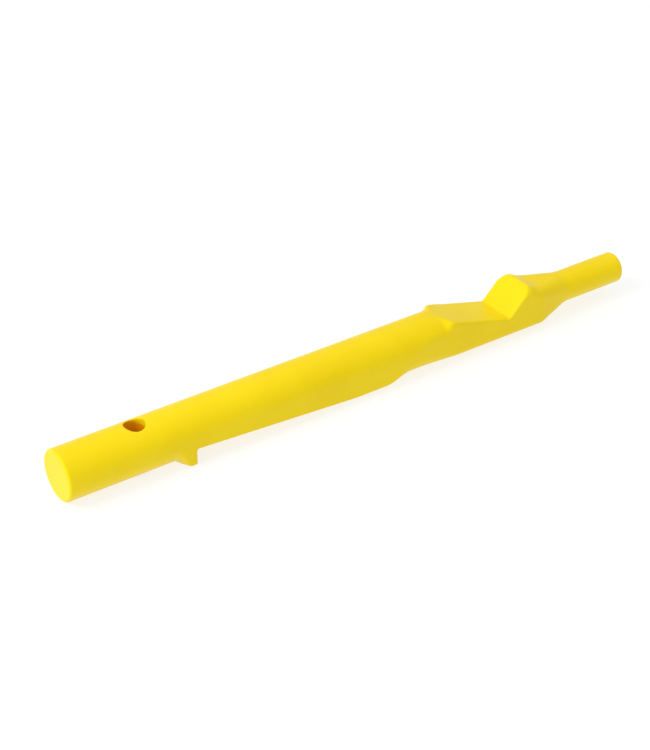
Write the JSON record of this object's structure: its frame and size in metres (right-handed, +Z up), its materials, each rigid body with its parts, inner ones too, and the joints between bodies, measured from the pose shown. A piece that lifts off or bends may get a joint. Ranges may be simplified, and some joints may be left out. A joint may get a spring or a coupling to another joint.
{
  "type": "wedge bar",
  "caption": "Round-shanked bar with a cross hole, a stop tooth before a long tapered underside, a hooked notch on top and a turned nose.",
  "frame": {"origin": "centre of the struck end face, on the bar's axis", "axes": "+X along the bar from the struck face to the nose, +Z up through the notch and the hook, +Y to the left when looking along +X"},
  "size_m": [0.3265, 0.025, 0.0267],
  "materials": {
    "yellow_coat": "smooth semi-gloss coat over steel",
    "dowel_steel": "ground"
  },
  "bodies": {
    "root": {"shank": "yellow_coat", "wedge_body": "yellow_coat", "nose_pilot": "yellow_coat", "tang_dowel": "dowel_steel", "nose_dowel": "dowel_steel"}
  },
  "joints": []
}
